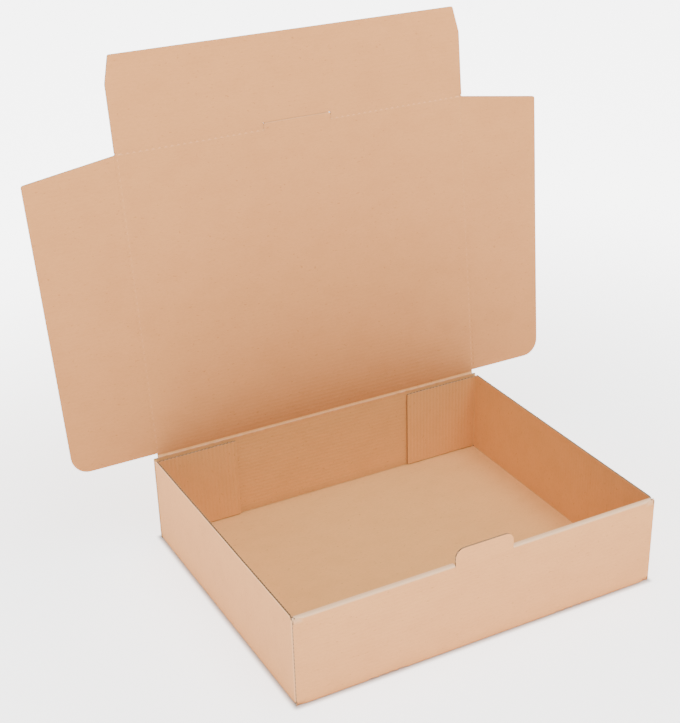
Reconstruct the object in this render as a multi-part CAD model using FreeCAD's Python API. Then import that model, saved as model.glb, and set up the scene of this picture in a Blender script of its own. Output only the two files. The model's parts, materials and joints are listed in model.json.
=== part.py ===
"""Folding mailing box, die-cut from one sheet of fluted board and shown open.

The frame's origin is the middle of the underside. X runs along the front, Y from front to back
and Z up. All lengths are in millimetres and all angles in degrees.
"""
import FreeCAD, Part
import math
import os

# Outside of the closed tray
WIDTH = 305.0
DEPTH = 252.0
HEIGHT = 74.0

# Board and the way that it folds
BOARD = 1.5
FOLD_INNER_RADIUS = 0.4
LAYER_GAP = 0.2
HINGE_GAP = 0.3
SIDE_CLEARANCE = 0.3

# Flaps that fold in from the side walls
DUST_FLAP_LENGTH = 71.0
DUST_FLAP_DROP = 2.2
DUST_FLAP_FOOT_GAP = 0.7
DUST_FLAP_CORNER = 1.0

# Locking feet of the rolled front wall, and their slots in the floor
FOOT_WIDTH = 28.0
FOOT_SPACING = 156.0
FOOT_LIFT = 0.15
SLOT_CLEARANCE = 0.2

# Upright tab of the front wall
TAB_WIDTH = 48.6
TAB_HEIGHT = 12.3
TAB_CORNER = 7.0
TAB_SIDE_CUT = 0.3

# Lid
LID_LEAN = 6.2
LIP_WIDTH = 58.0
LIP_CORNER = 1.5
LIP_TAB_GAP = 0.35

# Wings at the lid's sides
WING_WIDTH_FRONT = 73.0
WING_WIDTH_REAR = 68.5
WING_START = 3.4
WING_FRONT_CUT = 10.5
WING_FRONT_GAP = 1.2
WING_REAR_CORNER = 14.0
WING_FRONT_CORNER = 2.0

# Tuck flap at the lid's front
TUCK_DEPTH = 71.0
TUCK_SIDE_CLEARANCE = 0.5
TUCK_KNEE = 50.5
TUCK_TAPER = 5.0
TUCK_CORNER = 1.5
TAB_PASS_CLEARANCE = 0.55

# Values that follow from the ones above
HALF = BOARD / 2
FOLD_MID_RADIUS = FOLD_INNER_RADIUS + HALF
FOLD_OUTER_RADIUS = FOLD_INNER_RADIUS + BOARD
ROLL_DEPTH = 3 * BOARD + 2 * LAYER_GAP
FRONT_Y = -DEPTH / 2
BACK_Y = DEPTH / 2
SIDE_X = WIDTH / 2
INNER_MID_Y = FRONT_Y + ROLL_DEPTH - HALF
FLAP_MID_INSET = BOARD + LAYER_GAP + HALF
HINGE_REACH = HALF + HINGE_GAP
HINGE_Y = BACK_Y - HALF
HINGE_Z = HEIGHT + HINGE_REACH
WING_AXIS_X = SIDE_X - BOARD - SIDE_CLEARANCE - HALF
LID_LENGTH = HINGE_Y - (FRONT_Y + ROLL_DEPTH + SIDE_CLEARANCE + HALF)
TAB_BACK_REACH = HINGE_Y - (FRONT_Y + BOARD)
TAB_FRONT_REACH = HINGE_Y - FRONT_Y
LIP_REACH = TAB_BACK_REACH - LIP_TAB_GAP
NOTCH_REACH = TAB_FRONT_REACH + TAB_PASS_CLEARANCE


def vec(x, y, z):
    return FreeCAD.Vector(x, y, z)


def box(x0, x1, y0, y1, z0, z1):
    """A plain block between two corners."""
    return Part.makeBox(x1 - x0, y1 - y0, z1 - z0, vec(x0, y0, z0))


def ribbon(points, place):
    """The cut face of a board that follows straight runs with a round fold between them.

    points are the middle of the board, as pairs, and place turns a pair into a point in space.
    """
    runs = []
    for a, b in zip(points, points[1:]):
        length = math.hypot(b[0] - a[0], b[1] - a[1])
        runs.append(((b[0] - a[0]) / length, (b[1] - a[1]) / length))

    def side(sign):
        """Straight and round edges on one side of the board, from its start to its end."""
        pieces = []
        start = (points[0][0] - sign * HALF * runs[0][1], points[0][1] + sign * HALF * runs[0][0])
        for corner, before, after in zip(points[1:-1], runs, runs[1:]):
            turn = before[0] * after[1] - before[1] * after[0]
            centre = (corner[0] + FOLD_MID_RADIUS * (after[0] - before[0]),
                      corner[1] + FOLD_MID_RADIUS * (after[1] - before[1]))
            radius = FOLD_MID_RADIUS - sign * math.copysign(HALF, turn)
            first = (centre[0] - radius * after[0], centre[1] - radius * after[1])
            last = (centre[0] + radius * before[0], centre[1] + radius * before[1])
            half_way = radius / math.sqrt(2)
            middle = (centre[0] + half_way * (before[0] - after[0]),
                      centre[1] + half_way * (before[1] - after[1]))
            pieces.append(Part.makeLine(place(*start), place(*first)))
            pieces.append(Part.Arc(place(*first), place(*middle), place(*last)).toShape())
            start = last
        end = (points[-1][0] - sign * HALF * runs[-1][1], points[-1][1] + sign * HALF * runs[-1][0])
        pieces.append(Part.makeLine(place(*start), place(*end)))
        return pieces, place(*end)

    left, left_end = side(1)
    right, right_end = side(-1)
    left_start = left[0].Vertexes[0].Point
    right_start = right[0].Vertexes[0].Point
    ends = [Part.makeLine(left_start, right_start), Part.makeLine(left_end, right_end)]
    return Part.Face(Part.Wire(Part.__sortEdges__(left + right + ends)))


def rounded_outline(corners, z):
    """A flat face from corners given as x, y and the radius of the round there."""
    edges = []
    count = len(corners)
    ends = []
    for i in range(count):
        x, y, radius = corners[i]
        before = corners[i - 1]
        after = corners[(i + 1) % count]
        point = vec(x, y, z)
        back = vec(before[0], before[1], z).sub(point)
        ahead = vec(after[0], after[1], z).sub(point)
        back.normalize()
        ahead.normalize()
        if radius <= 0:
            ends.append((point, point))
            continue
        angle = back.getAngle(ahead)
        reach = radius / math.tan(angle / 2)
        first = point + back * reach
        last = point + ahead * reach
        bisector = back + ahead
        bisector.normalize()
        middle = point + bisector * (radius / math.sin(angle / 2) - radius)
        edges.append(Part.Arc(first, middle, last).toShape())
        ends.append((first, last))
    for i in range(count):
        a = ends[i][1]
        b = ends[(i + 1) % count][0]
        if a.distanceToPoint(b) > 1e-6:
            edges.append(Part.makeLine(a, b))
    return Part.Face(Part.Wire(Part.__sortEdges__(edges)))


def panel(corners):
    """A flat board whose middle lies in the plane z = 0."""
    return rounded_outline(corners, -HALF).extrude(vec(0, 0, BOARD))


def hinge_bead(start, end):
    """The round edge that a moving board turns on."""
    along = end.sub(start)
    return Part.makeCylinder(HALF, along.Length, start, along)


def long_strip():
    """Back wall, floor, front wall, its top and its inner layer: one run of board."""
    points = [(HINGE_Y, HEIGHT), (HINGE_Y, HALF), (FRONT_Y + HALF, HALF),
              (FRONT_Y + HALF, HEIGHT - HALF), (INNER_MID_Y, HEIGHT - HALF),
              (INNER_MID_Y, BOARD + LAYER_GAP)]
    strip = ribbon(points, lambda y, z: vec(-SIDE_X, y, z)).extrude(vec(WIDTH, 0, 0))
    floor_end = DEPTH / 2 - FOLD_OUTER_RADIUS
    inner_x = SIDE_X - BOARD - SIDE_CLEARANCE
    for side in (-1, 1):
        low, high = sorted((side * (SIDE_X - FOLD_OUTER_RADIUS), side * WIDTH))
        strip = strip.cut(box(low, high, -floor_end, floor_end, -BOARD, FOLD_OUTER_RADIUS))
        low, high = sorted((side * inner_x, side * WIDTH))
        strip = strip.cut(box(low, high, FRONT_Y + FOLD_OUTER_RADIUS, 0, BOARD, HEIGHT + BOARD))
    return strip


def cross_strip():
    """Left wall, floor and right wall, with the walls' top corners rounded off."""
    half_run = DEPTH / 2 - BOARD - LAYER_GAP - FOLD_OUTER_RADIUS
    wall_x = SIDE_X - HALF
    points = [(-wall_x, HEIGHT), (-wall_x, HALF), (wall_x, HALF), (wall_x, HEIGHT)]
    strip = ribbon(points, lambda x, z: vec(x, -half_run, z)).extrude(vec(0, 2 * half_run, 0))
    profile = [(-half_run, -BOARD, 0), (half_run, -BOARD, 0),
               (half_run, HEIGHT, DUST_FLAP_DROP), (-half_run, HEIGHT, DUST_FLAP_DROP)]
    blank = rounded_outline(profile, 0).extrude(vec(0, 0, 2 * WIDTH))
    blank.rotate(vec(0, 0, 0), vec(0, 0, 1), 90)
    blank.rotate(vec(0, 0, 0), vec(0, 1, 0), 90)
    blank.translate(vec(-WIDTH, 0, 0))
    return strip.common(blank)


def side_wall_with_flaps(side):
    """One side wall with the flaps that fold in from its two ends."""
    wall_x = side * (SIDE_X - HALF)
    flap_y = DEPTH / 2 - FLAP_MID_INSET
    free_x = side * (SIDE_X - DUST_FLAP_LENGTH)
    low = BOARD + DUST_FLAP_FOOT_GAP
    high = HEIGHT - DUST_FLAP_DROP
    points = [(free_x, -flap_y), (wall_x, -flap_y), (wall_x, flap_y), (free_x, flap_y)]
    strip = ribbon(points, lambda x, y: vec(x, y, low)).extrude(vec(0, 0, high - low))
    outer_x = side * (SIDE_X + BOARD)
    profile = [(outer_x, -high, 0), (outer_x, -low, 0), (free_x, -low, DUST_FLAP_CORNER),
               (free_x, -high, DUST_FLAP_CORNER)]
    blank = rounded_outline(profile, -DEPTH).extrude(vec(0, 0, 2 * DEPTH))
    blank.rotate(vec(0, 0, 0), vec(1, 0, 0), -90)
    return strip.common(blank)


def upright(corners, front_y, back_y):
    """An upright board from x, z and radius corners, between two depths."""
    flat = rounded_outline([(x, -z, radius) for x, z, radius in corners], 0)
    solid = flat.extrude(vec(0, 0, back_y - front_y))
    solid.rotate(vec(0, 0, 0), vec(1, 0, 0), -90)
    solid.translate(vec(0, front_y, 0))
    return solid


def tray():
    """The whole tray with its rolled front wall, as one folded sheet."""
    body = long_strip()
    body = body.fuse(cross_strip())
    for side in (-1, 1):
        body = body.fuse(side_wall_with_flaps(side))

    fold_arc = FOLD_MID_RADIUS * math.pi / 2
    top_run = ROLL_DEPTH - BOARD - 2 * FOLD_MID_RADIUS
    root_z = HEIGHT - FOLD_OUTER_RADIUS
    tab_top = HEIGHT + TAB_HEIGHT
    notch_z = root_z - (tab_top - root_z - 2 * fold_arc - top_run)
    half_tab = TAB_WIDTH / 2
    half_cut = half_tab + TAB_SIDE_CUT
    body = body.cut(box(-half_cut, half_cut, FRONT_Y - BOARD, FRONT_Y + BOARD, root_z, HEIGHT + BOARD))
    notch = [(-half_cut, notch_z, TAB_CORNER), (half_cut, notch_z, TAB_CORNER),
             (half_cut, HEIGHT + BOARD, 0), (-half_cut, HEIGHT + BOARD, 0)]
    body = body.cut(upright(notch, FRONT_Y + BOARD, FRONT_Y + ROLL_DEPTH + BOARD))
    tab = [(-half_tab, root_z, 0), (half_tab, root_z, 0),
           (half_tab, tab_top, TAB_CORNER), (-half_tab, tab_top, TAB_CORNER)]
    body = body.fuse(upright(tab, FRONT_Y, FRONT_Y + BOARD))

    inner_front = INNER_MID_Y - HALF
    inner_back = INNER_MID_Y + HALF
    for side in (-1, 1):
        middle = side * FOOT_SPACING / 2
        low = middle - FOOT_WIDTH / 2
        high = middle + FOOT_WIDTH / 2
        body = body.cut(box(low - SLOT_CLEARANCE, high + SLOT_CLEARANCE,
                            inner_front - SLOT_CLEARANCE, inner_back + SLOT_CLEARANCE, -BOARD, BOARD))
        body = body.fuse(box(low, high, inner_front, inner_back, FOOT_LIFT, BOARD + LAYER_GAP))
    return body.removeSplitter()


def lid():
    """The flat lid with the lip that stays level in front of its front crease."""
    half = WING_AXIS_X - HINGE_REACH
    front = LID_LENGTH - HINGE_REACH
    half_lip = LIP_WIDTH / 2
    body = panel([(-half, 0, 0), (half, 0, 0), (half, front, 0), (half_lip, front, 0),
                  (half_lip, LIP_REACH, LIP_CORNER), (-half_lip, LIP_REACH, LIP_CORNER),
                  (-half_lip, front, 0), (-half, front, 0)])
    return body.fuse(hinge_bead(vec(-half, 0, 0), vec(half, 0, 0))).removeSplitter()


def tuck_flap():
    """The flap that tucks in behind the front wall, notched where the tab stands."""
    half = SIDE_X - BOARD - TUCK_SIDE_CLEARANCE
    half_notch = LIP_WIDTH / 2 + HINGE_GAP
    root = LID_LENGTH
    body = panel([(-half, root, 0), (-half_notch, root, 0), (-half_notch, NOTCH_REACH, LIP_CORNER),
                  (half_notch, NOTCH_REACH, LIP_CORNER), (half_notch, root, 0), (half, root, 0),
                  (half, root + TUCK_KNEE, TUCK_CORNER),
                  (half - TUCK_TAPER, root + TUCK_DEPTH, TUCK_CORNER),
                  (-half + TUCK_TAPER, root + TUCK_DEPTH, TUCK_CORNER),
                  (-half, root + TUCK_KNEE, TUCK_CORNER)])
    for low, high in ((-half, -half_notch), (half_notch, half)):
        body = body.fuse(hinge_bead(vec(low, root, 0), vec(high, root, 0)))
    return body.removeSplitter()


def wing(side):
    """One side flap of the lid, narrower towards the hinge, with a large rear corner."""
    axis_x = side * WING_AXIS_X
    front = LID_LENGTH - WING_FRONT_GAP
    rear_x = axis_x + side * WING_WIDTH_REAR
    front_x = axis_x + side * WING_WIDTH_FRONT
    body = panel([(axis_x, WING_START, 0), (rear_x, WING_START, WING_REAR_CORNER),
                  (front_x, front - WING_FRONT_CUT, WING_FRONT_CORNER), (axis_x, front, 0)])
    return body.fuse(hinge_bead(vec(axis_x, WING_START, 0), vec(axis_x, front, 0))).removeSplitter()


def raise_lid(shape):
    """Turns a piece of the lid from flat on its back to where the lid stands, on the hinge line."""
    shape.rotate(vec(0, 0, 0), vec(1, 0, 0), 90 - LID_LEAN)
    shape.translate(vec(0, HINGE_Y, HINGE_Z))
    return shape


def main():
    os.makedirs("parts", exist_ok=True)
    pieces = {
        "tray": tray(),
        "lid": raise_lid(lid()),
        "tuck_flap": raise_lid(tuck_flap()),
        "left_wing": raise_lid(wing(-1)),
        "right_wing": raise_lid(wing(1)),
    }
    for name, shape in pieces.items():
        shape.exportStep(os.path.join("parts", name + ".step"))


main()
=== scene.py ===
import json
import math

import bpy
import numpy as np
from mathutils import Matrix, Vector, noise
from mathutils.geometry import delaunay_2d_cdt


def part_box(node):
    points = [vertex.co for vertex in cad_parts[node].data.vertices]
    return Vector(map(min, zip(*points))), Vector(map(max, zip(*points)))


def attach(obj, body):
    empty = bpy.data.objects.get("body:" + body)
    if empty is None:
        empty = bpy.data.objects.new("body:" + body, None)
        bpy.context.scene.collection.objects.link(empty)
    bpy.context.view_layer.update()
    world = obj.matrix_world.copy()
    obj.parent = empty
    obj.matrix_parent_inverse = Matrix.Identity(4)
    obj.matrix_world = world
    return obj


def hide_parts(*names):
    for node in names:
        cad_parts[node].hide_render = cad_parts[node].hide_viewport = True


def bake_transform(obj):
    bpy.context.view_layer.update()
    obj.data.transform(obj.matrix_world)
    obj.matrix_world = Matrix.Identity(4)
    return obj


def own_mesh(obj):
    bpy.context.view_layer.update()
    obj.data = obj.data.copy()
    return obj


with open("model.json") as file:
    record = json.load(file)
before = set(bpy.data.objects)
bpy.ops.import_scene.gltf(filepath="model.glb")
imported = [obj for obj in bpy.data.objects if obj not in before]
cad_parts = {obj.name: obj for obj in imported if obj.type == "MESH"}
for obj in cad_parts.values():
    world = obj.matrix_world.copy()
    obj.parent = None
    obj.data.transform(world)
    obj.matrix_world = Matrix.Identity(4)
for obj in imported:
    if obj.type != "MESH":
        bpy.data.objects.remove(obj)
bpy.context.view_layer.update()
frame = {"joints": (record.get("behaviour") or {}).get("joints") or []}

MM = 0.001
NOISE_SEED = 1

# Sizes of the board, in metres
BOARD = 1.5 * MM
HALF = BOARD / 2
LINER = 0.22 * MM
EDGE_RECESS = 0.6 * MM
SEAM_RECESS = 0.01 * MM
WAVE_INSET = 0.05 * MM
WAVE_PAPER = 0.16 * MM
FLUTE_PITCH = 3.3 * MM
FOLD_INNER = 0.4 * MM
FOLD_MID = FOLD_INNER + HALF
FOLD_OUTER = FOLD_INNER + BOARD
LAYER_GAP = 0.2 * MM
SIDE_CLEARANCE = 0.3 * MM
CREASE_REACH = 2.0 * MM

# Sizes of the tray
TAB_WIDTH = 48.6 * MM
TAB_HEIGHT = 12.3 * MM
TAB_CORNER = 7.0 * MM
TAB_SIDE_CUT = 0.3 * MM
DUST_FLAP_LENGTH = 71.0 * MM
DUST_FLAP_DROP = 2.2 * MM
DUST_FLAP_FOOT_GAP = 0.7 * MM
DUST_FLAP_CORNER = 1.0 * MM
FOOT_WIDTH = 28.0 * MM
FOOT_SPACING = 156.0 * MM
FOOT_LIFT = 0.15 * MM
SLOT_CLEARANCE = 0.2 * MM

# Sizes of the lid and its flaps
LIP_WIDTH = 58.0 * MM
SMALL_CORNER = 1.5 * MM
WING_WIDTH_REAR = 68.5 * MM
WING_WIDTH_FRONT = 73.0 * MM
WING_START = 3.4 * MM
WING_FRONT_CUT = 10.5 * MM
WING_FRONT_GAP = 1.2 * MM
WING_REAR_CORNER = 14.0 * MM
TUCK_DEPTH = 71.0 * MM
TUCK_KNEE = 50.5 * MM
TUCK_TAPER = 5.0 * MM
TAB_PASS_CLEARANCE = 0.55 * MM
SLIT_CUT = 0.2 * MM
CORNER_GAP = 0.05 * MM

# Fineness of the meshes
ON_LINE = 1e-7
NEAR_POINT = 0.05 * MM
NEAR_BORDER = 0.15 * MM
NEAR_ROW = 0.02 * MM
NEAR_GRID = 1.2 * MM
TRAY_GRID = 8 * MM
LID_GRID = 7 * MM
CREASE_GRID = 5 * MM
TAB_GRID = 4 * MM
HINGE_GRID = 2.5 * MM
WARP_SIZE = 60 * MM
WARP_LIFT = 0.10 * MM
WARP_FADE = 10 * MM

# Shape of a pressed crease, and its lines of painted highlight and painted shade
GROOVE_HALF = 0.65 * MM
GROOVE_DEPTH = 0.24 * MM
GROOVE_BACK = 0.12 * MM
SHOULDER_AT = 1.25 * MM
SHOULDER_HALF = 0.4 * MM
SHOULDER_RISE = 0.09 * MM
PAINTED_LINE_HALF = 0.5 * MM
HIGHLIGHT_AT = -0.9 * MM
SHADE_AT = 0.8 * MM
WING_CREASE_PAINT = 0.12
TUCK_CREASE_PAINT = 0.28
LIP_HIGHLIGHT = 0.22
SLIT_SHADE = 0.45

# The photograph's viewpoint, found from the box's own edges
CAMERA_PLACE = (-477.7, -838.5, 640.7)
CAMERA_AZIMUTH = 28.50
CAMERA_ELEVATION = 28.29
CAMERA_ROLL = 1.05
FOCAL_PX = 1435.6
CENTRE_PX = (369.9, 424.8)
PHOTO_PX = (680, 723)

# Colours of the paper before light, and of the painted highlight and painted shade on it
TRAY_INSIDE = (0.80, 0.435, 0.16, 1)
# The lid's inside is the tray's inside liner made darker: painted shade
LID_INSIDE_SHADED = (0.55, 0.24, 0.083, 1)
OUTSIDE = (0.715, 0.325, 0.12, 1)
# Painted highlight colour, also used for the pale cut rim at the side walls' outer top edge
PALE_HIGHLIGHT_AND_RIM = (0.97, 0.64, 0.38, 1)
# Painted shade colour for dark lines at folds, creases and the slit
PAINTED_SHADE_COLOUR = (0.24, 0.115, 0.045, 1)
CUT_PAPER = (0.60, 0.38, 0.22, 1)
# Dark paper for the recess of a cut edge: painted shade
GROOVE_SHADE_PAPER = (0.20, 0.11, 0.06, 1)

# Light, in watts, and the floor's own glow at and away from the box
SKY = 0.45
KEY_POWER = 12.0
TOP_POWER = 38.0
FILL_POWER = 7.0
GLOW_EDGE = 5 * MM
GLOW_START = 0.05
GLOW_FULL = 0.75
# No glow at the box's walls, so the floor is dark there: a painted contact shadow
GLOW_CONTACT = 0.0
GLOW_NEAR = 2.6
GLOW_FAR = 5.5

JOINTS = {joint["name"]: joint for joint in frame["joints"]}
TRAY_LOW, TRAY_HIGH = (np.array(corner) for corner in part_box("tray"))
SIDE_X = float(TRAY_HIGH[0])
FRONT_Y = float(TRAY_LOW[1])
BACK_Y = float(TRAY_HIGH[1])
HEIGHT = float(TRAY_HIGH[2]) - TAB_HEIGHT
HINGE = np.array(JOINTS["lid_hinge"]["pos_m"], float)
CREASE = np.array(JOINTS["tuck_fold"]["pos_m"], float)
WING_AXIS = float(JOINTS["right_wing_fold"]["pos_m"][0])
ROLL_DEPTH = 3 * BOARD + 2 * LAYER_GAP
INNER_MID_Y = FRONT_Y + ROLL_DEPTH - HALF
LID_LENGTH = float(np.linalg.norm(CREASE - HINGE))
LID_UP = (CREASE - HINGE) / LID_LENGTH
LID_IN = np.cross((1, 0, 0), LID_UP)
LID_HALF = WING_AXIS - HALF - SIDE_CLEARANCE
TUCK_HALF = float(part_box("tuck_flap")[1][0])
TAB_BACK_REACH = HINGE[1] - (FRONT_Y + BOARD)
TAB_FRONT_REACH = HINGE[1] - FRONT_Y
LIP_REACH = TAB_BACK_REACH - SIDE_CLEARANCE - LAYER_GAP / 4
NOTCH_REACH = TAB_FRONT_REACH + TAB_PASS_CLEARANCE


class Run:
    """The middle line of a folded board: straight runs with a round fold between them."""

    def __init__(self, points, radius=FOLD_MID):
        points = [np.array(p, float) for p in points]
        self.parts = []
        self.length = 0.0
        start = points[0]
        for i in range(1, len(points)):
            ahead = points[i] - points[i - 1]
            ahead = ahead / np.linalg.norm(ahead)
            if i < len(points) - 1:
                after = points[i + 1] - points[i]
                after = after / np.linalg.norm(after)
                turn = math.atan2(ahead[0] * after[1] - ahead[1] * after[0], float(ahead @ after))
                trim = radius * math.tan(abs(turn) / 2)
                self._straight(start, points[i] - ahead * trim, ahead)
                self._round(points[i] - ahead * trim, ahead, turn, radius)
                start = points[i] + after * trim
            else:
                self._straight(start, points[i], ahead)

    def _straight(self, start, end, ahead):
        reach = float(np.linalg.norm(end - start))
        self.parts.append((self.length, self.length + reach, start, ahead, 0.0, 0.0))
        self.length += reach

    def _round(self, start, ahead, turn, radius):
        reach = abs(turn) * radius
        self.parts.append((self.length, self.length + reach, start, ahead, turn, radius))
        self.length += reach

    def at(self, s):
        """Points of the middle line and their left normals at the lengths s."""
        s = np.asarray(s, float)
        point = np.zeros(s.shape + (2,))
        normal = np.zeros(s.shape + (2,))
        last = len(self.parts) - 1
        for i, (low, high, start, ahead, turn, radius) in enumerate(self.parts):
            inside = (s >= low if i else s > -1) & (s < high if i < last else s < 1e9)
            d = (s[inside] - low)[:, None]
            left = np.array([-ahead[1], ahead[0]])
            if radius:
                side = math.copysign(1.0, turn)
                centre = start + left * radius * side
                angle = d / radius
                out = left * radius * side
                point[inside] = centre - out * np.cos(angle) + ahead * radius * np.sin(angle)
                normal[inside] = left * np.cos(angle) - ahead * side * np.sin(angle)
            else:
                point[inside] = start + ahead * d
                normal[inside] = left
        return point, normal

    def folds(self, steps=6):
        """Lengths at which a mesh needs a row of points to follow the folds."""
        rows = []
        for low, high, _, _, _, radius in self.parts:
            if radius:
                rows += list(np.linspace(low, high, steps + 1))
        return rows


def round_corners(corners, steps=7):
    """A closed outline from corners given as a, b and the radius of the round there."""
    outline = []
    for i, (a, b, radius) in enumerate(corners):
        point = np.array((a, b), float)
        if radius <= 0:
            outline.append(point)
            continue
        back = np.array(corners[i - 1][:2], float) - point
        ahead = np.array(corners[(i + 1) % len(corners)][:2], float) - point
        back = back / np.linalg.norm(back)
        ahead = ahead / np.linalg.norm(ahead)
        half_angle = math.acos(float(np.clip(back @ ahead, -1, 1))) / 2
        reach = radius / math.tan(half_angle)
        middle = back + ahead
        centre = point + middle / np.linalg.norm(middle) * radius / math.sin(half_angle)
        first = point + back * reach - centre
        last = point + ahead * reach - centre
        sweep = math.atan2(first[0] * last[1] - first[1] * last[0], float(first @ last))
        for k in range(steps + 1):
            angle = sweep * k / steps
            c, s = math.cos(angle), math.sin(angle)
            outline.append(centre + np.array((c * first[0] - s * first[1], s * first[0] + c * first[1])))
    return outline


def split_edges(outline, rows_a, rows_b, longest):
    """The outline with a point wherever it crosses a row of the grid, and none too far apart."""
    result = []
    for i, start in enumerate(outline):
        end = outline[(i + 1) % len(outline)]
        shares = [0.0]
        for axis, rows in ((0, rows_a), (1, rows_b)):
            span = end[axis] - start[axis]
            if abs(span) > 1e-9:
                shares += [(row - start[axis]) / span for row in rows]
        shares = sorted(share for share in shares if 0.0 <= share < 1.0)
        length = float(np.linalg.norm(end - start))
        kept = []
        for share in shares:
            if not kept or (share - kept[-1]) * length > NEAR_POINT:
                kept.append(share)
        kept.append(1.0)
        if (1.0 - kept[-2]) * length < NEAR_POINT and len(kept) > 2:
            kept.pop(-2)
        for low, high in zip(kept, kept[1:]):
            count = max(1, math.ceil((high - low) * length / longest))
            result += [start + (end - start) * (low + (high - low) * k / count) for k in range(count)]
    return result


def signed_area(outline):
    pts = np.array(outline)
    nxt = np.roll(pts, -1, axis=0)
    return 0.5 * float(np.sum(pts[:, 0] * nxt[:, 1] - nxt[:, 0] * pts[:, 1]))


def inside(points, outline):
    """Whether each point lies inside the outline."""
    pts = np.array(outline)
    x, y = points[:, 0], points[:, 1]
    found = np.zeros(len(points), bool)
    for (ax, ay), (bx, by) in zip(pts, np.roll(pts, -1, axis=0)):
        crosses = (ay > y) != (by > y)
        with np.errstate(divide="ignore", invalid="ignore"):
            found ^= crosses & (x < (bx - ax) * (y - ay) / (by - ay) + ax)
    return found


def inward(outline):
    """The direction into the board at each point of an outline that has the board on its left."""
    pts = np.array(outline)
    back = pts - np.roll(pts, 1, axis=0)
    ahead = np.roll(pts, -1, axis=0) - pts
    back /= np.linalg.norm(back, axis=1)[:, None]
    ahead /= np.linalg.norm(ahead, axis=1)[:, None]
    left = np.stack([-(back + ahead)[:, 1], (back + ahead)[:, 0]], 1)
    size = np.linalg.norm(left, axis=1)
    size[size < 1e-6] = 1.0
    left /= size[:, None]
    square = np.stack([-ahead[:, 1], ahead[:, 0]], 1)
    return left / np.clip(np.sum(left * square, axis=1), 0.5, 1)[:, None]


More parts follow.
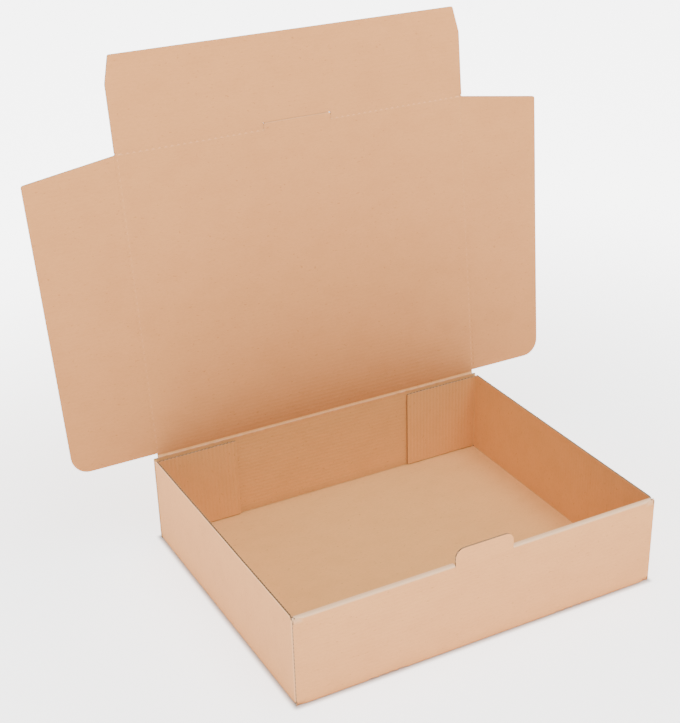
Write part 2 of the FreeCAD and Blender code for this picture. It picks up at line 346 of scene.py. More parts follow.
class Sheet:
    """Points, faces and their attributes for one piece of board."""

    def __init__(self):
        self.points = []
        self.blank = []
        self.wear = []
        self.faces = []
        self.kinds = []

    def add(self, place, ab, w, wear):
        """Adds points at the blank's places ab and the height w, and returns their numbers."""
        ab = np.asarray(ab, float).reshape(-1, 2)
        w = np.broadcast_to(np.asarray(w, float), (len(ab),))
        first = sum(len(p) for p in self.points)
        self.points.append(place(ab[:, 0], ab[:, 1], w))
        self.blank.append(np.column_stack([ab, w]))
        self.wear.append(np.broadcast_to(np.asarray(wear, float), (len(ab),)))
        return np.arange(first, first + len(ab))

    def quads(self, row_a, row_b, kind, closed=True):
        count = len(row_a) if closed else len(row_a) - 1
        for i in range(count):
            j = (i + 1) % len(row_a)
            self.faces.append((row_a[i], row_a[j], row_b[j], row_b[i]))
            self.kinds.append(kind)

    def board(self, corners, place, holes=(), rows_a=(), rows_b=(), grid=TRAY_GRID,
              seam=None, relief=None, wear=None):
        """Adds a board with its cut edges: two liners with the waved paper between them."""
        relief = relief or (lambda a, b, top: np.zeros(len(a)))
        wear = wear or (lambda a, b, top: np.zeros(len(a)))
        seam = seam or (lambda a, b: np.zeros(len(a), bool))
        loops = [round_corners(corners)] + [round_corners(hole) for hole in holes]
        if signed_area(loops[0]) < 0:
            loops[0] = loops[0][::-1]
        loops[1:] = [loop if signed_area(loop) < 0 else loop[::-1] for loop in loops[1:]]
        whole = np.array(loops[0])
        low, high = whole.min(axis=0), whole.max(axis=0)
        grid_a = np.linspace(low[0], high[0], max(2, round((high[0] - low[0]) / grid)) + 1)[1:-1]
        grid_b = np.linspace(low[1], high[1], max(2, round((high[1] - low[1]) / grid)) + 1)[1:-1]
        lines_a = thin_out(list(rows_a) + list(grid_a), len(rows_a))
        lines_b = thin_out(list(rows_b) + list(grid_b), len(rows_b))
        loops = [split_edges(loop, lines_a, lines_b, grid) for loop in loops]
        mesh_a, mesh_b = np.meshgrid(lines_a, lines_b)
        inner = np.column_stack([mesh_a.ravel(), mesh_b.ravel()])
        keep = inside(inner, loops[0])
        for loop in loops[1:]:
            keep &= ~inside(inner, loop)
        border = np.array([p for loop in loops for p in loop])
        inner = inner[keep]
        near = np.array([np.min(np.sum((border - p) ** 2, axis=1)) for p in inner]) if len(inner) else inner
        inner = inner[near > NEAR_BORDER ** 2] if len(inner) else inner
        edges = []
        first = 0
        for loop in loops:
            count = len(loop)
            edges += [(first + i, first + (i + 1) % count) for i in range(count)]
            first += count
        scale = 1000.0
        flat = [Vector((float(p[0]) * scale, float(p[1]) * scale)) for p in list(border) + list(inner)]
        verts, _, tris, origin, _, _ = delaunay_2d_cdt(flat, edges, [], 1, 1e-5)
        ab = np.array([(v[0], v[1]) for v in verts]) / scale
        tris = np.array([t for t in tris], int)
        middle = ab[tris].mean(axis=1)
        kept = inside(middle, loops[0])
        for loop in loops[1:]:
            kept &= ~inside(middle, loop)
        tris = tris[kept]
        number = {}
        for out, sources in enumerate(origin):
            for source in sources:
                number[source] = out
        a, b = ab[:, 0], ab[:, 1]
        top = self.add(place, ab, HALF + relief(a, b, True), wear(a, b, True))
        bottom = self.add(place, ab, -HALF + relief(a, b, False), wear(a, b, False))
        for i, j, k in tris:
            self.faces.append((top[i], top[j], top[k]))
            self.faces.append((bottom[k], bottom[j], bottom[i]))
            self.kinds += [0, 0]
        first = 0
        for loop in loops:
            index = np.array([number[first + i] for i in range(len(loop))])
            first += len(loop)
            self.cut_edge(place, np.array(loop), top[index], bottom[index], seam, relief)

    def cut_edge(self, place, loop, top, bottom, seam, relief):
        """Closes the board along one outline, with a groove between the liners."""
        a, b = loop[:, 0], loop[:, 1]
        middle = (loop + np.roll(loop, -1, axis=0)) / 2
        plain = seam(middle[:, 0], middle[:, 1])
        plain = plain | np.roll(plain, 1)
        into = inward(loop)
        depth = np.where(plain, SEAM_RECESS, EDGE_RECESS)
        deep = loop + into * depth[:, None]
        up = relief(a, b, True)
        down = relief(a, b, False)
        upper = self.add(place, loop, HALF - LINER + up, 0)
        upper_in = self.add(place, deep, HALF - LINER + up, 0)
        lower_in = self.add(place, deep, -HALF + LINER + down, 0)
        lower = self.add(place, loop, -HALF + LINER + down, 0)
        self.quads(upper, top, 1)
        # The recess faces take the dark groove paper: painted shade
        self.quads(upper_in, upper, 2)
        self.quads(lower_in, upper_in, 2)
        self.quads(lower, lower_in, 2)
        self.quads(bottom, lower, 1)
        self.waved_paper(place, loop, plain, into)

    def waved_paper(self, place, loop, plain, into):
        """The waved paper between the liners, as far as it shows in the groove of a cut edge."""
        count = len(loop)
        strip = []
        for i in range(count):
            j = (i + 1) % count
            if plain[i] or plain[j]:
                self.wave_strip(place, strip)
                strip = []
                continue
            steps = max(1, math.ceil(abs(loop[j][1] - loop[i][1]) / (FLUTE_PITCH / 8)))
            for k in range(1 if strip else 0, steps + 1):
                share = k / steps
                strip.append((loop[i] * (1 - share) + loop[j] * share,
                              into[i] * (1 - share) + into[j] * share))
        self.wave_strip(place, strip)

    def wave_strip(self, place, strip):
        if len(strip) < 3:
            return
        edge = np.array([s[0] for s in strip])
        into = np.array([s[1] for s in strip])
        swing = HALF - LINER - WAVE_PAPER / 2
        height = swing * np.sin(edge[:, 1] * 2 * math.pi / FLUTE_PITCH)
        outer = edge + into * WAVE_INSET
        inner = edge + into * (EDGE_RECESS + SEAM_RECESS)
        rows = [self.add(place, inner, height + WAVE_PAPER / 2, 0),
                self.add(place, outer, height + WAVE_PAPER / 2, 0),
                self.add(place, outer, height - WAVE_PAPER / 2, 0),
                self.add(place, inner, height - WAVE_PAPER / 2, 0)]
        for row, after in zip(rows, rows[1:] + rows[:1]):
            self.quads(after, row, 1, closed=False)
        self.faces += [tuple(row[0] for row in rows), tuple(row[-1] for row in rows[::-1])]
        self.kinds += [1, 1]

    def make(self, name, materials, smooth_angle=35):
        """Turns what was added into one object."""
        points = warp(np.concatenate(self.points))
        mesh = bpy.data.meshes.new(name)
        mesh.from_pydata([tuple(p) for p in points], [], [tuple(int(i) for i in f) for f in self.faces])
        blank = mesh.attributes.new("blank", "FLOAT_VECTOR", "POINT")
        blank.data.foreach_set("vector", np.concatenate(self.blank).astype(np.float32).ravel())
        # Per-point painted highlight (above 0) and painted shade (below 0), with the side walls' pale cut
        # rim
        wear = mesh.attributes.new("wear", "FLOAT", "POINT")
        wear.data.foreach_set("value", np.concatenate(self.wear).astype(np.float32))
        for material in materials:
            mesh.materials.append(material)
        mesh.polygons.foreach_set("material_index", np.array(self.kinds, np.int32))
        mesh.update()
        obj = bpy.data.objects.new(name, mesh)
        bpy.context.scene.collection.objects.link(obj)
        mesh.shade_smooth()
        mesh.set_sharp_from_angle(angle=math.radians(smooth_angle))
        return obj


def thin_out(rows, fixed):
    """Sorted rows without near doubles, where the first ones given win over the grid's."""
    kept = []
    for i, row in enumerate(rows):
        if all(abs(row - other) > (NEAR_ROW if i < fixed else NEAR_GRID) for other in kept):
            kept.append(row)
    return sorted(kept)


def warp(points):
    """Small unevenness of real board, as one smooth change of place, level where it stands."""
    out = points.copy()
    for i, p in enumerate(points):
        shift = np.array(noise.noise_vector(Vector(p / WARP_SIZE))) * WARP_LIFT
        shift[2] *= min(1.0, max(0.0, p[2] / WARP_FADE))
        out[i] += shift
    return out


def flat_place(origin, along, across, normal):
    """Places a flat board: a runs along, b across and w off the board."""
    origin, along, across, normal = (np.array(v, float) for v in (origin, along, across, normal))

    def place(a, b, w):
        return origin + np.outer(a, along) + np.outer(b, across) + np.outer(w, normal)
    return place


def lid_place():
    return flat_place(HINGE, (1, 0, 0), LID_UP, LID_IN)


def mirror_x(corners, side):
    return [(side * a, b, radius) for a, b, radius in corners]


LONG_RUN = Run([(HINGE[1], HEIGHT), (HINGE[1], HALF), (FRONT_Y + HALF, HALF),
                (FRONT_Y + HALF, HEIGHT - HALF), (INNER_MID_Y, HEIGHT - HALF),
                (INNER_MID_Y, FOOT_LIFT)])


def bump_at(values, middle, reach):
    """A smooth hump of height 1 round the middle."""
    return np.exp(-((values - middle) / reach) ** 2)


def tray_long_strip(sheet):
    """Back wall, floor, front wall, its rolled top and its inner layer."""
    def place(a, b, w):
        point, normal = LONG_RUN.at(b)
        return np.column_stack([a, point[:, 0] - normal[:, 0] * w, point[:, 1] - normal[:, 1] * w])

    parts = LONG_RUN.parts
    floor_start, floor_end = parts[2][0], parts[2][1]
    front_start, front_end = parts[4][0], parts[4][1]
    spine_start = parts[6][0]
    inner_start = parts[8][0]
    inner_x = SIDE_X - BOARD - SIDE_CLEARANCE
    floor_x = SIDE_X - FOLD_OUTER
    feet_end = LONG_RUN.length
    inner_end = feet_end - (BOARD + LAYER_GAP - FOOT_LIFT)
    hinge_seam = 1.0 * MM
    foot_out = (FOOT_SPACING + FOOT_WIDTH) / 2
    foot_in = (FOOT_SPACING - FOOT_WIDTH) / 2
    half = [(LID_HALF, hinge_seam, 0), (LID_HALF, 0, 0), (SIDE_X, 0, 0), (SIDE_X, floor_start, 0),
            (floor_x, floor_start, 0), (floor_x, floor_end, 0), (SIDE_X, floor_end, 0),
            (SIDE_X, spine_start, 0), (inner_x, spine_start, 0), (inner_x, inner_end, 0),
            (foot_out, inner_end, 0), (foot_out, feet_end, 0), (foot_in, feet_end, 0),
            (foot_in, inner_end, 0)]
    corners = half + [(-a, b, radius) for a, b, radius in half[::-1]]

    fold_arc = FOLD_MID * math.pi / 2
    notch_end = front_end + TAB_HEIGHT + FOLD_OUTER
    half_cut = TAB_WIDTH / 2 + TAB_SIDE_CUT
    tab_hole = [(-half_cut, front_end, 0), (half_cut, front_end, 0),
                (half_cut, notch_end, TAB_CORNER), (-half_cut, notch_end, TAB_CORNER)]
    holes = [tab_hole]
    floor_at_front = floor_start + (BACK_Y - FOLD_OUTER) - (INNER_MID_Y + HALF)
    for side in (-1, 1):
        middle = side * FOOT_SPACING / 2
        low = middle - FOOT_WIDTH / 2 - SLOT_CLEARANCE
        high = middle + FOOT_WIDTH / 2 + SLOT_CLEARANCE
        slot_low = floor_at_front - SLOT_CLEARANCE
        slot_high = floor_at_front + BOARD + SLOT_CLEARANCE
        holes.append([(low, slot_low, 0), (high, slot_low, 0),
                      (high, slot_high, 0), (low, slot_high, 0)])

    def seam(a, b):
        at_hinge = (abs(b - hinge_seam) < ON_LINE) & (abs(a) < LID_HALF)
        at_sides = (abs(abs(a) - floor_x) < ON_LINE) & (b > floor_start) & (b < floor_end)
        at_tab = (abs(b - front_end) < ON_LINE) & (abs(a) < half_cut)
        return at_hinge | at_sides | at_tab

    # Painted shade in the inside fold between back wall and floor, and a painted highlight over the front's
    # rolled top
    def wear(a, b, top):
        if top:
            return -0.7 * bump_at(b, floor_start - fold_arc / 2, 1.2 * MM)
        rise = np.clip((b - front_end) / (0.4 * fold_arc), 0, 1)
        return rise * np.clip((inner_start - b) / fold_arc, 0, 1)

    strip = Sheet()
    strip.board(corners, place, holes=holes, rows_b=LONG_RUN.folds() + [floor_start + 1.2 * MM],
                seam=seam, wear=wear)
    sheet_join(sheet, strip, flip=True)


def tray_side(sheet, side):
    """One side wall, from the floor's edge up, with its two end flaps."""
    wall_y = BACK_Y - BOARD - LAYER_GAP - FOLD_OUTER
    run = Run([(SIDE_X - FOLD_OUTER, HALF), (SIDE_X - HALF, HALF), (SIDE_X - HALF, HEIGHT)])

    def place(a, b, w):
        point, normal = run.at(a)
        return np.column_stack([side * (point[:, 0] + normal[:, 0] * w), b,
                                point[:, 1] + normal[:, 1] * w])

    top = run.length
    corners = [(0, -wall_y, 0), (top, -wall_y, DUST_FLAP_DROP), (top, wall_y, DUST_FLAP_DROP),
               (0, wall_y, 0)]
    flap_low = BOARD + DUST_FLAP_FOOT_GAP
    flap_high = HEIGHT - DUST_FLAP_DROP
    up_start = run.parts[2][0] - FOLD_OUTER

    def seam(a, b):
        at_floor = abs(a) < ON_LINE
        at_flaps = (abs(abs(b) - wall_y) < ON_LINE) & (a > up_start + flap_low)
        return at_floor | at_flaps

    # Painted shade along the fold at the floor inside; outside, a pale band at the top edge, partly the
    # pale cut rim of the liner and partly painted highlight
    def wear(a, b, inner):
        if inner:
            return -0.8 * bump_at(a, run.parts[1][0], 1.0 * MM)
        return 0.6 * np.clip((a - top + 1.0 * MM) / (0.6 * MM), 0, 1)

    wall = Sheet()
    wall.board(corners, place, rows_a=run.folds() + [2.4 * MM, top - 1.0 * MM, top - 0.4 * MM],
               seam=seam, wear=wear)
    sheet_join(sheet, wall, flip=side < 0)

    for end in (-1, 1):
        flap_y = BACK_Y - BOARD - LAYER_GAP - HALF
        flap_run = Run([(SIDE_X - HALF, wall_y), (SIDE_X - HALF, flap_y),
                        (SIDE_X - DUST_FLAP_LENGTH, flap_y)])

        def place_flap(a, b, w, flap_run=flap_run, end=end):
            point, normal = flap_run.at(b)
            return np.column_stack([side * (point[:, 0] + normal[:, 0] * w),
                                    end * (point[:, 1] + normal[:, 1] * w), a])

        free = flap_run.length
        outline = [(flap_low, 0, 0), (flap_high, 0, 0), (flap_high, free, DUST_FLAP_CORNER),
                   (flap_low, free, DUST_FLAP_CORNER)]
        # Each flap's outer face gets a painted highlight along its fold
        flap = Sheet()
        flap.board(outline, place_flap, rows_b=flap_run.folds(),
                   seam=lambda a, b: abs(b) < ON_LINE,
                   wear=lambda a, b, inner: 0.0 if inner else 0.35 * bump_at(b, 0.5 * MM, 1.0 * MM))
        sheet_join(sheet, flap, flip=side * end < 0)


def sheet_join(sheet, other, flip):
    """Adds another sheet's faces, turned over where its place mirrors them."""
    first = sum(len(p) for p in sheet.points)
    sheet.points += other.points
    sheet.blank += other.blank
    sheet.wear += other.wear
    for face in other.faces:
        face = tuple(i + first for i in face)
        sheet.faces.append(face[::-1] if flip else face)
    sheet.kinds += other.kinds


def tray_tab(sheet):
    """The upright tab that stands in the front wall's own plane."""
    half = TAB_WIDTH / 2
    root = HEIGHT - FOLD_OUTER
    top = HEIGHT + TAB_HEIGHT
    place = flat_place((0, FRONT_Y + HALF, 0), (1, 0, 0), (0, 0, 1), (0, 1, 0))
    corners = [(-half, root, 0), (half, root, 0), (half, top, TAB_CORNER), (-half, top, TAB_CORNER)]
    tab = Sheet()
    tab.board(corners, place, seam=lambda a, b: abs(b - root) < ON_LINE, grid=TAB_GRID)
    sheet_join(sheet, tab, flip=True)


def crease_profile(distance, top):
    """How far a pressed crease moves the face of the board: a groove inside, a bead outside."""
    groove = np.exp(-(distance / GROOVE_HALF) ** 2)
    shoulder = np.exp(-((np.abs(distance) - SHOULDER_AT) / SHOULDER_HALF) ** 2)
    if top:
        return SHOULDER_RISE * shoulder - GROOVE_DEPTH * groove
    return -GROOVE_BACK * groove


def crease_painted_light(distance, strength):
    """A painted highlight line before the crease and a painted shade line past it."""
    pale = bump_at(distance, HIGHLIGHT_AT, PAINTED_LINE_HALF)
    dark = 1.2 * bump_at(distance, SHADE_AT, PAINTED_LINE_HALF)
    return strength * (pale - dark)


CREASE_ROWS = np.linspace(-CREASE_REACH, CREASE_REACH, 13)


def hinge_strip():
    """The crease between the back wall and the lid."""
    below = HINGE[2] - HEIGHT + 1.0 * MM
    run = Run([(HINGE[1], HINGE[2] - below), (HINGE[1], HINGE[2]),
               (HINGE[1] + LID_UP[1] * CREASE_REACH, HINGE[2] + LID_UP[2] * CREASE_REACH)], 2 * MM)

    def place(a, b, w):
        point, normal = run.at(b)
        return np.column_stack([a, point[:, 0] + normal[:, 0] * w, point[:, 1] + normal[:, 1] * w])

    corners = [(-LID_HALF, 0, 0), (LID_HALF, 0, 0),
               (LID_HALF, run.length, 0), (-LID_HALF, run.length, 0)]

    def relief(a, b, top):
        d = b - below
        ends = np.clip(np.minimum(b, run.length - b) / (0.5 * MM), 0, 1)
        rough = np.array([noise.noise(Vector((x / (2.6 * MM), 0.0, 3.0))) for x in a])
        bead = np.exp(-(d / (0.7 * MM)) ** 2) * (0.28 + 0.22 * rough) * MM
        return ends * (bead if top else -0.1 * MM * np.exp(-(d / (0.7 * MM)) ** 2))

    # A painted highlight along the crease's bead, uneven along its length; the bead itself is real relief
    def wear(a, b, top):
        rough = np.array([noise.noise(Vector((x / (5.0 * MM), 1.0, 8.0))) for x in a])
        return bump_at(b, below, 0.9 * MM) * np.clip(0.55 + 0.6 * rough, 0, 1)

    sheet = Sheet()
    sheet.board(corners, place, rows_b=list(np.linspace(0, run.length, 14)[1:-1]), grid=HINGE_GRID,
                seam=lambda a, b: (abs(b) < ON_LINE) | (abs(b - run.length) < ON_LINE),
                relief=relief, wear=wear)
    obj = sheet.make("hinge_crease", TRAY_LOOK)
    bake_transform(obj)


def lid_panel():
    """The lid between its creases, with the lip in the middle of its front."""
    side = WING_AXIS - CREASE_REACH
    front = LID_LENGTH - CREASE_REACH
    half_lip = LIP_WIDTH / 2
    half = [(LID_HALF, CREASE_REACH, 0), (LID_HALF, WING_START, 0), (side, WING_START, 0),
            (side, front, 0), (half_lip, front, 0), (half_lip, LIP_REACH, SMALL_CORNER)]
    corners = half + [(-a, b, radius) for a, b, radius in half[::-1]]

    def seam(a, b):
        at_hinge = abs(b - CREASE_REACH) < ON_LINE
        at_sides = (abs(abs(a) - side) < ON_LINE) & (b > WING_START)
        at_front = (abs(b - front) < ON_LINE) & (abs(a) > half_lip)
        return at_hinge | at_sides | at_front

    sheet = Sheet()
    rim = 0.9 * MM
    # A painted highlight along the lip's top edge
    sheet.board(corners, lid_place(), seam=seam, grid=LID_GRID, rows_b=[LIP_REACH - rim],
                wear=lambda a, b, top: LIP_HIGHLIGHT * np.clip(1 - (LIP_REACH - b) / rim, 0, 1))
    obj = sheet.make("lid_panel", SHADED_LID_LOOK)
    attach(obj, "lid")
    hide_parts("lid")


def wing_pieces(side, name):
    """One wing and the crease that it turns on."""
    front = LID_LENGTH - WING_FRONT_GAP
    corner_end = LID_LENGTH - CORNER_GAP
    slope = WING_FRONT_CUT / WING_WIDTH_FRONT
    inner = WING_AXIS + CREASE_REACH
    corners = [(inner, WING_START, 0), (WING_AXIS + WING_WIDTH_REAR, WING_START, WING_REAR_CORNER),
               (WING_AXIS + WING_WIDTH_FRONT, front - WING_FRONT_CUT, 2 * MM),
               (inner, front - CREASE_REACH * slope, 0)]
    sheet = Sheet()
    sheet.board(mirror_x(corners, side), lid_place(), grid=LID_GRID,
                seam=lambda a, b: abs(abs(a) - inner) < ON_LINE)
    panel = sheet.make(name, SHADED_LID_LOOK)
    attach(panel, name)
    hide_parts(name)

    low = WING_AXIS - CREASE_REACH
    corners = [(low, WING_START, 0), (inner, WING_START, 0), (inner, front - CREASE_REACH * slope, 0),
               (TUCK_HALF, front, 0), (WING_AXIS, corner_end, 0), (low, corner_end, 0)]
    strip = Sheet()
    strip.board(mirror_x(corners, side), lid_place(), grid=CREASE_GRID,
                rows_a=[side * (WING_AXIS + r) for r in CREASE_ROWS[1:-1]],
                seam=lambda a, b: (abs(abs(a) - inner) < ON_LINE) | (abs(abs(a) - low) < ON_LINE),
                relief=lambda a, b, top: crease_profile(abs(a) - WING_AXIS, top),
                wear=lambda a, b, top: crease_painted_light(abs(a) - WING_AXIS, WING_CREASE_PAINT))
    crease = strip.make(name + "_crease", SHADED_LID_LOOK)
    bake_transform(crease)


def tuck_pieces():
    """The tuck flap, the two creases beside the slit, and the slit's soft edge."""
    low = LID_LENGTH - CREASE_REACH
    high = LID_LENGTH + CREASE_REACH
    half_notch = LIP_WIDTH / 2 + SIDE_CLEARANCE
    half = [(half_notch, high, 0), (TUCK_HALF, high, 0),
            (TUCK_HALF, LID_LENGTH + TUCK_KNEE, SMALL_CORNER),
            (TUCK_HALF - TUCK_TAPER, LID_LENGTH + TUCK_DEPTH, SMALL_CORNER)]
    corners = half + [(-a, b, radius) for a, b, radius in half[::-1]]
    corners += [(-half_notch, NOTCH_REACH, SMALL_CORNER), (half_notch, NOTCH_REACH, SMALL_CORNER)]
    sheet = Sheet()
    sheet.board(corners, lid_place(), grid=LID_GRID,
                seam=lambda a, b: abs(b - high) < ON_LINE)
    panel = sheet.make("tuck_panel", SHADED_LID_LOOK)
    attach(panel, "tuck_flap")
    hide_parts("tuck_flap")

    lid_side = WING_AXIS - CREASE_REACH
    for side, name in ((-1, "tuck_crease_left"), (1, "tuck_crease_right")):
        corners = [(half_notch, low, 0), (lid_side, low, 0), (lid_side, LID_LENGTH, 0),
                   (TUCK_HALF, LID_LENGTH, 0), (TUCK_HALF, high, 0), (half_notch, high, 0)]
        strip = Sheet()
        strip.board(mirror_x(corners, side), lid_place(),
                    rows_b=[LID_LENGTH + r for r in CREASE_ROWS[1:-1]], grid=CREASE_GRID,
                    seam=lambda a, b: (abs(b - low) < ON_LINE) | (abs(b - high) < ON_LINE),
                    relief=lambda a, b, top: crease_profile(b - LID_LENGTH, top),
                    wear=lambda a, b, top: crease_painted_light(b - LID_LENGTH, TUCK_CREASE_PAINT))
        crease = strip.make(name, SHADED_LID_LOOK)
        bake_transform(crease)

    start = LIP_REACH + SLIT_CUT
    corners = [(-half_notch, start, 0), (half_notch, start, 0), (half_notch, NOTCH_REACH, 0),
               (-half_notch, NOTCH_REACH, 0)]
    sheet = Sheet()
    # The slit's edge gets a painted shade line along the cut
    sheet.board(corners, lid_place(), grid=CREASE_GRID,
                seam=lambda a, b: ((abs(b - NOTCH_REACH) < ON_LINE)
                                   | (abs(abs(a) - half_notch) < ON_LINE)),
                rows_b=[start + 0.4 * MM],
                wear=lambda a, b, top: -SLIT_SHADE * bump_at(b, start, 0.35 * MM))
    edge = sheet.make("slit_edge", SHADED_LID_LOOK)
    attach(edge, "tuck_flap")
    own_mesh(edge)


def node(tree, kind, **values):
    made = tree.nodes.new(kind)
    for key, value in values.items():
        if key in made.inputs.keys():
            made.inputs[key].default_value = value
        else:
            setattr(made, key, value)
    return made


def kraft(name, inside, outside):
    """Brown kraft liner: fibre, mottling and the faint washboard of the flutes under it."""
    material = bpy.data.materials.new(name)
    material.use_nodes = True
    tree = material.node_tree
    tree.nodes.clear()
    out = node(tree, "ShaderNodeOutputMaterial")
    shader = node(tree, "ShaderNodeBsdfPrincipled", Roughness=0.82)
    shader.inputs["Specular IOR Level"].default_value = 0.2
    tree.links.new(shader.outputs[0], out.inputs[0])
    blank = node(tree, "ShaderNodeAttribute", attribute_name="blank")
    wear = node(tree, "ShaderNodeAttribute", attribute_name="wear")
    split = node(tree, "ShaderNodeSeparateXYZ")
    tree.links.new(blank.outputs["Vector"], split.inputs[0])

    def scaled(scale):
        mapping = node(tree, "ShaderNodeMapping")
        mapping.inputs["Scale"].default_value = scale
        tree.links.new(blank.outputs["Vector"], mapping.inputs["Vector"])
        return mapping.outputs[0]

    def noise_of(scale, detail=3.0, rough=0.55):
        made = node(tree, "ShaderNodeTexNoise", Scale=1.0, Detail=detail, Roughness=rough)
        tree.links.new(scaled(scale), made.inputs["Vector"])
        return made.outputs["Fac"]

    def ramp(source, low, high):
        made = node(tree, "ShaderNodeMapRange")
        made.inputs["From Min"].default_value = low
        made.inputs["From Max"].default_value = high
        tree.links.new(source, made.inputs["Value"])
        return made.outputs[0]

    def mix(factor, first, second, strength=1.0, kind="MIX"):
        made = node(tree, "ShaderNodeMix", data_type="RGBA", blend_type=kind)
        scale = node(tree, "ShaderNodeMath", operation="MULTIPLY")
        scale.inputs[1].default_value = strength
        tree.links.new(factor, scale.inputs[0])
        tree.links.new(scale.outputs[0], made.inputs[0])
        for socket, value in ((6, first), (7, second)):
            if isinstance(value, tuple):
                made.inputs[socket].default_value = value
            else:
                tree.links.new(value, made.inputs[socket])
        return made.outputs[2]

    cloud = noise_of((11.0, 14.0, 11.0), 2.0)
    mottle = noise_of((38.0, 55.0, 38.0), 4.0)
    fibre = noise_of((420.0, 1900.0, 900.0), 3.0, 0.6)
    speck = noise_of((330.0, 600.0, 400.0), 1.0, 0.4)
    colour = mix(ramp(split.outputs["Z"], -HALF / 2, HALF / 2), outside, inside)
    dark = (0.80, 0.74, 0.68, 1)
    light = (1.10, 1.12, 1.14, 1)
    colour = mix(ramp(cloud, 0.35, 0.65), colour, light, 0.25, "MULTIPLY")
    colour = mix(ramp(mottle, 0.45, 0.62), colour, dark, 0.14, "MULTIPLY")
    colour = mix(ramp(fibre, 0.52, 0.75), colour, dark, 0.45, "MULTIPLY")
    colour = mix(ramp(fibre, 0.46, 0.26), colour, light, 0.5, "MULTIPLY")
    colour = mix(ramp(speck, 0.715, 0.76), colour, dark, 0.75, "MULTIPLY")
    # Painted highlight and pale cut rim where the point attribute is above 0, painted shade where it is
    # below 0
    colour = mix(ramp(wear.outputs["Fac"], 0.0, 1.0), colour, PALE_HIGHLIGHT_AND_RIM, 0.95)
    colour = mix(ramp(wear.outputs["Fac"], 0.0, -1.0), colour, PAINTED_SHADE_COLOUR, 0.6)
    tree.links.new(colour, shader.inputs["Base Color"])

    wave = node(tree, "ShaderNodeMath", operation="MULTIPLY")
    wave.inputs[1].default_value = 2 * math.pi / FLUTE_PITCH
    tree.links.new(split.outputs["Y"], wave.inputs[0])
    sine = node(tree, "ShaderNodeMath", operation="SINE")
    tree.links.new(wave.outputs[0], sine.inputs[0])
    bump_flute = node(tree, "ShaderNodeBump", Strength=0.22, Distance=0.00012)
    tree.links.new(sine.outputs[0], bump_flute.inputs["Height"])
    bump = node(tree, "ShaderNodeBump", Strength=0.35, Distance=0.00008)
    tree.links.new(fibre, bump.inputs["Height"])
    tree.links.new(bump_flute.outputs[0], bump.inputs["Normal"])
    tree.links.new(bump.outputs[0], shader.inputs["Normal"])
    return material


def plain_paper(name, colour, roughness=0.9):
    """Plain paper with fine mottling: raw cut paper for the liners' edges, and a dark paper as painted
    shade in the groove between them.
    """
    material = bpy.data.materials.new(name)
    material.use_nodes = True
    tree = material.node_tree
    shader = tree.nodes["Principled BSDF"]
    shader.inputs["Roughness"].default_value = roughness
    shader.inputs["Specular IOR Level"].default_value = 0.15
    texture = node(tree, "ShaderNodeTexNoise", Scale=900.0, Detail=2.0)
    place = node(tree, "ShaderNodeTexCoord")
    tree.links.new(place.outputs["Object"], texture.inputs["Vector"])
    blend = node(tree, "ShaderNodeMix", data_type="RGBA")
    blend.inputs[6].default_value = tuple(c * 0.8 for c in colour[:3]) + (1.0,)
    blend.inputs[7].default_value = tuple(min(1.0, c * 1.2) for c in colour[:3]) + (1.0,)
    tree.links.new(texture.outputs["Fac"], blend.inputs[0])
    tree.links.new(blend.outputs[2], shader.inputs["Base Color"])
    return material


def look(prefix, inside, outside):
    return [kraft(prefix + "_liner", inside, outside),
            plain_paper(prefix + "_cut_paper", CUT_PAPER),
            plain_paper(prefix + "_groove", GROOVE_SHADE_PAPER)]


TRAY_LOOK = look("tray", TRAY_INSIDE, OUTSIDE)
# The lid's copy has a darker inside liner than the tray's: painted shade
SHADED_LID_LOOK = look("lid", LID_INSIDE_SHADED, OUTSIDE)


def build_tray():
    sheet = Sheet()
    tray_long_strip(sheet)
    for side in (-1, 1):
        tray_side(sheet, side)
    tray_tab(sheet)
    obj = sheet.make("tray_board", TRAY_LOOK)
    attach(obj, "tray")
    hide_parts("tray")


def camera():
    """A camera at the photograph's viewpoint."""
    place = np.array(CAMERA_PLACE) * MM
    width_px, height_px = PHOTO_PX
    az, el = math.radians(CAMERA_AZIMUTH), math.radians(CAMERA_ELEVATION)
    ahead = Vector((math.sin(az) * math.cos(el), math.cos(az) * math.cos(el), -math.sin(el)))
    right = ahead.cross(Vector((0, 0, 1))).normalized()
    up = right.cross(ahead)
    turn = math.radians(CAMERA_ROLL)
    right, up = (right * math.cos(turn) - up * math.sin(turn),
                 up * math.cos(turn) + right * math.sin(turn))
    data = bpy.data.cameras.new("camera")
    obj = bpy.data.objects.new("camera", data)
    bpy.context.scene.collection.objects.link(obj)
    obj.matrix_world = Matrix(((right.x, up.x, -ahead.x, place[0]), (right.y, up.y, -ahead.y, place[1]),
                               (right.z, up.z, -ahead.z, place[2]), (0, 0, 0, 1)))
    data.sensor_fit = "AUTO"
    data.sensor_width = 36.0
    data.lens = FOCAL_PX * data.sensor_width / height_px
    data.shift_x = (width_px / 2 - (CENTRE_PX[0] + 0.5)) / height_px
    data.shift_y = ((CENTRE_PX[1] + 0.5) - height_px / 2) / height_px
    data.clip_start = 0.05
    data.clip_end = 50
    bpy.context.scene.camera = obj


def area_light(name, place, target, size, power):
    """A square white light turned towards the target."""
    data = bpy.data.lights.new(name, "AREA")
    data.shape = "RECTANGLE"
    data.size = size
    data.size_y = size
    data.energy = power
    obj = bpy.data.objects.new(name, data)
    bpy.context.scene.collection.objects.link(obj)
    obj.location = place
    obj.rotation_euler = (Vector(target) - Vector(place)).to_track_quat("-Z", "Y").to_euler()


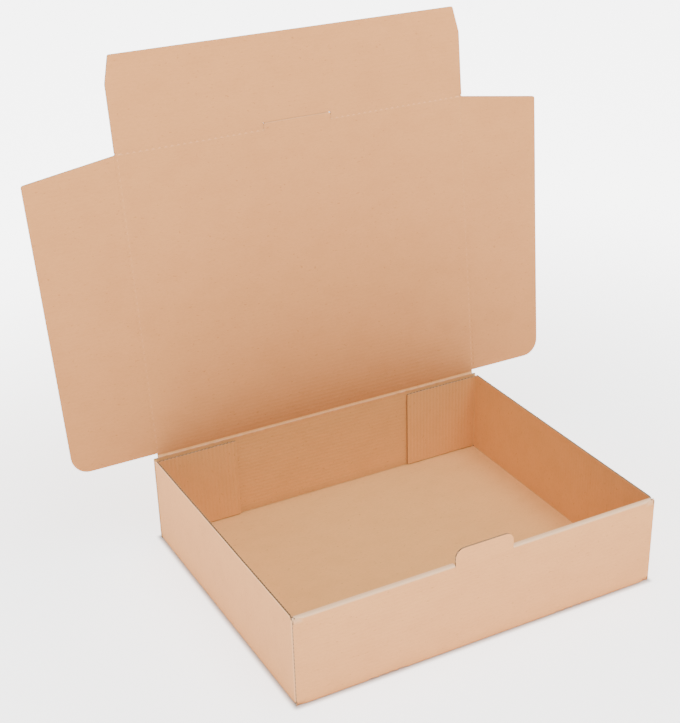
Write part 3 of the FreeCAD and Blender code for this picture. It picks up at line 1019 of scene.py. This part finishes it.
def studio():
    """Soft lights, and a pale floor that glows away from the box; its glow fades out at the box's walls as
    a painted contact shadow.
    """
    world = bpy.data.worlds.new("studio")
    world.use_nodes = True
    world.node_tree.nodes["Background"].inputs[0].default_value = (1.0, 1.0, 1.0, 1)
    world.node_tree.nodes["Background"].inputs[1].default_value = SKY
    bpy.context.scene.world = world
    area_light("key", (0.5, -1.9, 1.7), (0, 0, 0.1), 1.8, KEY_POWER)
    area_light("top", (0.1, -0.35, 1.9), (0.0, -0.05, 0), 1.7, TOP_POWER)
    area_light("fill", (-1.9, -0.6, 1.2), (0, 0, 0.15), 1.5, FILL_POWER)
    mesh = bpy.data.meshes.new("floor")
    reach = 20.0
    mesh.from_pydata([(-reach, -reach, 0), (reach, -reach, 0), (reach, reach, 0), (-reach, reach, 0)],
                     [], [(0, 1, 2, 3)])
    floor = bpy.data.objects.new("floor", mesh)
    bpy.context.scene.collection.objects.link(floor)
    material = bpy.data.materials.new("floor")
    material.use_nodes = True
    tree = material.node_tree
    shader = tree.nodes["Principled BSDF"]
    shader.inputs["Base Color"].default_value = (0.94, 0.94, 0.94, 1)
    shader.inputs["Roughness"].default_value = 0.9
    shader.inputs["Specular IOR Level"].default_value = 0.1
    shader.inputs["Emission Color"].default_value = (1, 1, 1, 1)
    source = node(tree, "ShaderNodeTexCoord").outputs["Object"]
    for operation, second in (("ABSOLUTE", None), ("SUBTRACT", (SIDE_X, BACK_Y, 0)),
                              ("MAXIMUM", (0, 0, 0)), ("LENGTH", None)):
        step = node(tree, "ShaderNodeVectorMath", operation=operation)
        tree.links.new(source, step.inputs[0])
        if second:
            step.inputs[1].default_value = second
        source = step.outputs["Value" if operation == "LENGTH" else "Vector"]
    total = node(tree, "ShaderNodeMath", operation="ADD")
    for i, ends in enumerate(((0, GLOW_EDGE, GLOW_CONTACT, GLOW_NEAR),
                              (GLOW_START, GLOW_FULL, 0, GLOW_FAR - GLOW_NEAR))):
        glow = node(tree, "ShaderNodeMapRange", interpolation_type="SMOOTHSTEP")
        for socket, value in zip(("From Min", "From Max", "To Min", "To Max"), ends):
            glow.inputs[socket].default_value = value
        tree.links.new(source, glow.inputs["Value"])
        tree.links.new(glow.outputs[0], total.inputs[i])
    tree.links.new(total.outputs[0], shader.inputs["Emission Strength"])
    mesh.materials.append(material)


noise.seed_set(NOISE_SEED)
build_tray()
hinge_strip()
lid_panel()
wing_pieces(-1, "left_wing")
wing_pieces(1, "right_wing")
tuck_pieces()
camera()
studio()
